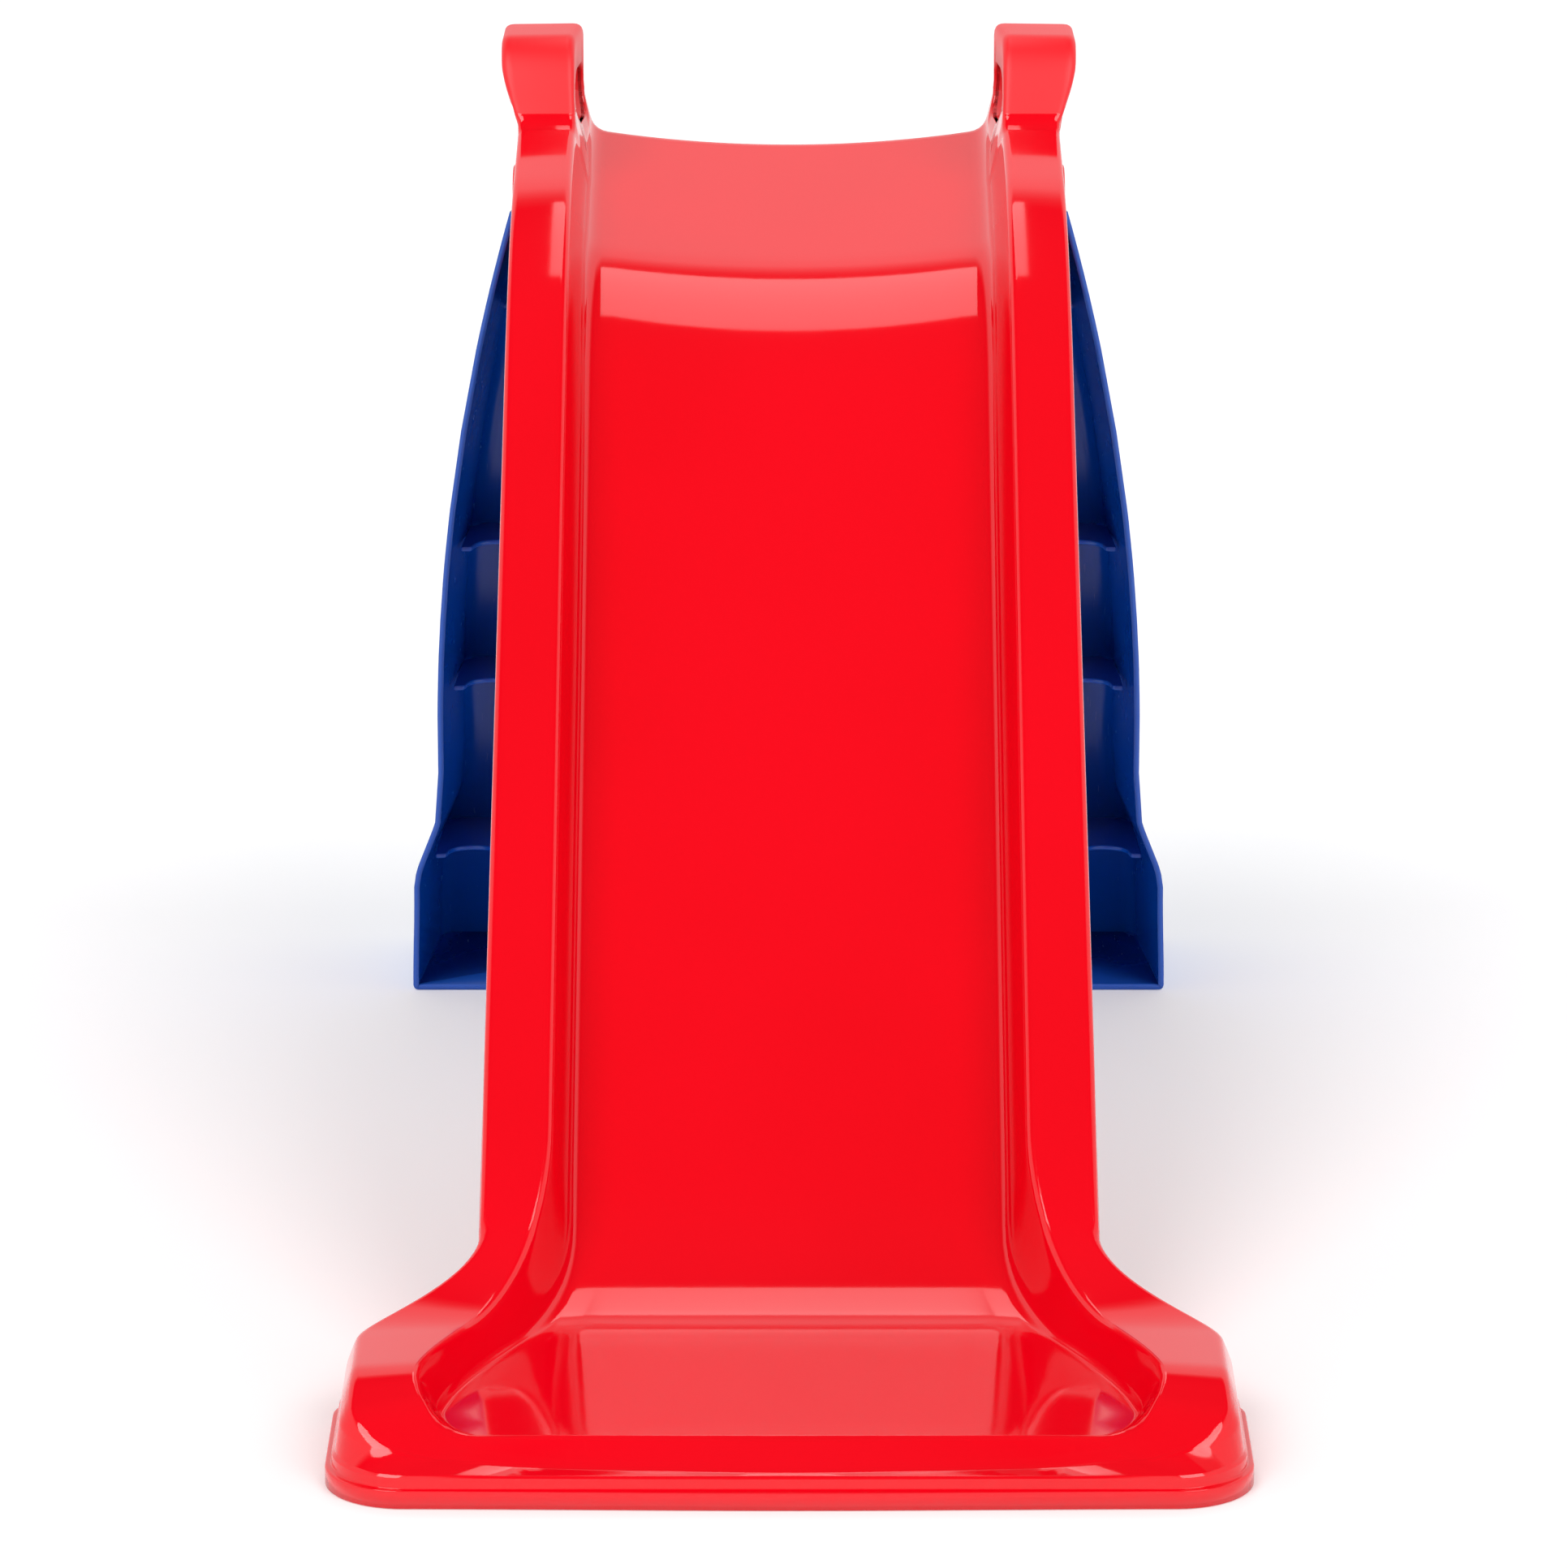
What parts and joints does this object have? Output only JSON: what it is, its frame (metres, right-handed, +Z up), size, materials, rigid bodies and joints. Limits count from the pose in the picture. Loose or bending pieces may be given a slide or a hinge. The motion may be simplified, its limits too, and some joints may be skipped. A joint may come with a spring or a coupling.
{
  "type": "straight slide",
  "caption": "Low folding toddler slide: glossy chute with side rails, hand grips and flared foot, on a hinged step ladder held by a swing-out brace.",
  "frame": {"origin": "middle of the whole footprint, on the floor", "axes": "+Z up, +Y from the foot of the chute towards the ladder, +X to the right as one faces the foot of the chute"},
  "size_m": [0.456, 0.99, 0.584],
  "materials": {
    "red_plastic": "glossy injection-moulded plastic, satin on the grip straps",
    "blue_plastic": "semi-gloss injection-moulded plastic",
    "washer_plastic": "plain natural plastic",
    "steel": "zinc-plated steel"
  },
  "bodies": {
    "slide": {"slide_chute": "red_plastic", "hand_grip_left": "red_plastic", "hand_grip_right": "red_plastic", "hinge_pin_left": "red_plastic", "hinge_pin_right": "red_plastic", "hinge_washers": "washer_plastic", "hinge_clips": "steel"},
    "ladder": {"ladder": "blue_plastic", "brace_rod": "steel", "brace_rod_caps": "blue_plastic"},
    "brace": {"fold_brace": "blue_plastic"}
  },
  "joints": [
    {"name": "ladder_fold", "type": "hinge", "parent": "slide", "child": "ladder", "pos_m": [0, 0.305, 0.492], "axis": [-1, 0, 0], "range_deg": [0, 50]},
    {"name": "brace_fold", "type": "hinge", "parent": "ladder", "child": "brace", "pos_m": [0, 0.343, 0.32], "axis": [1, 0, 0], "range_deg": [0, 94.8]}
  ],
  "couplings": [
    {"joint": "brace_fold", "follows": "ladder_fold", "ratio": 1.896}
  ]
}
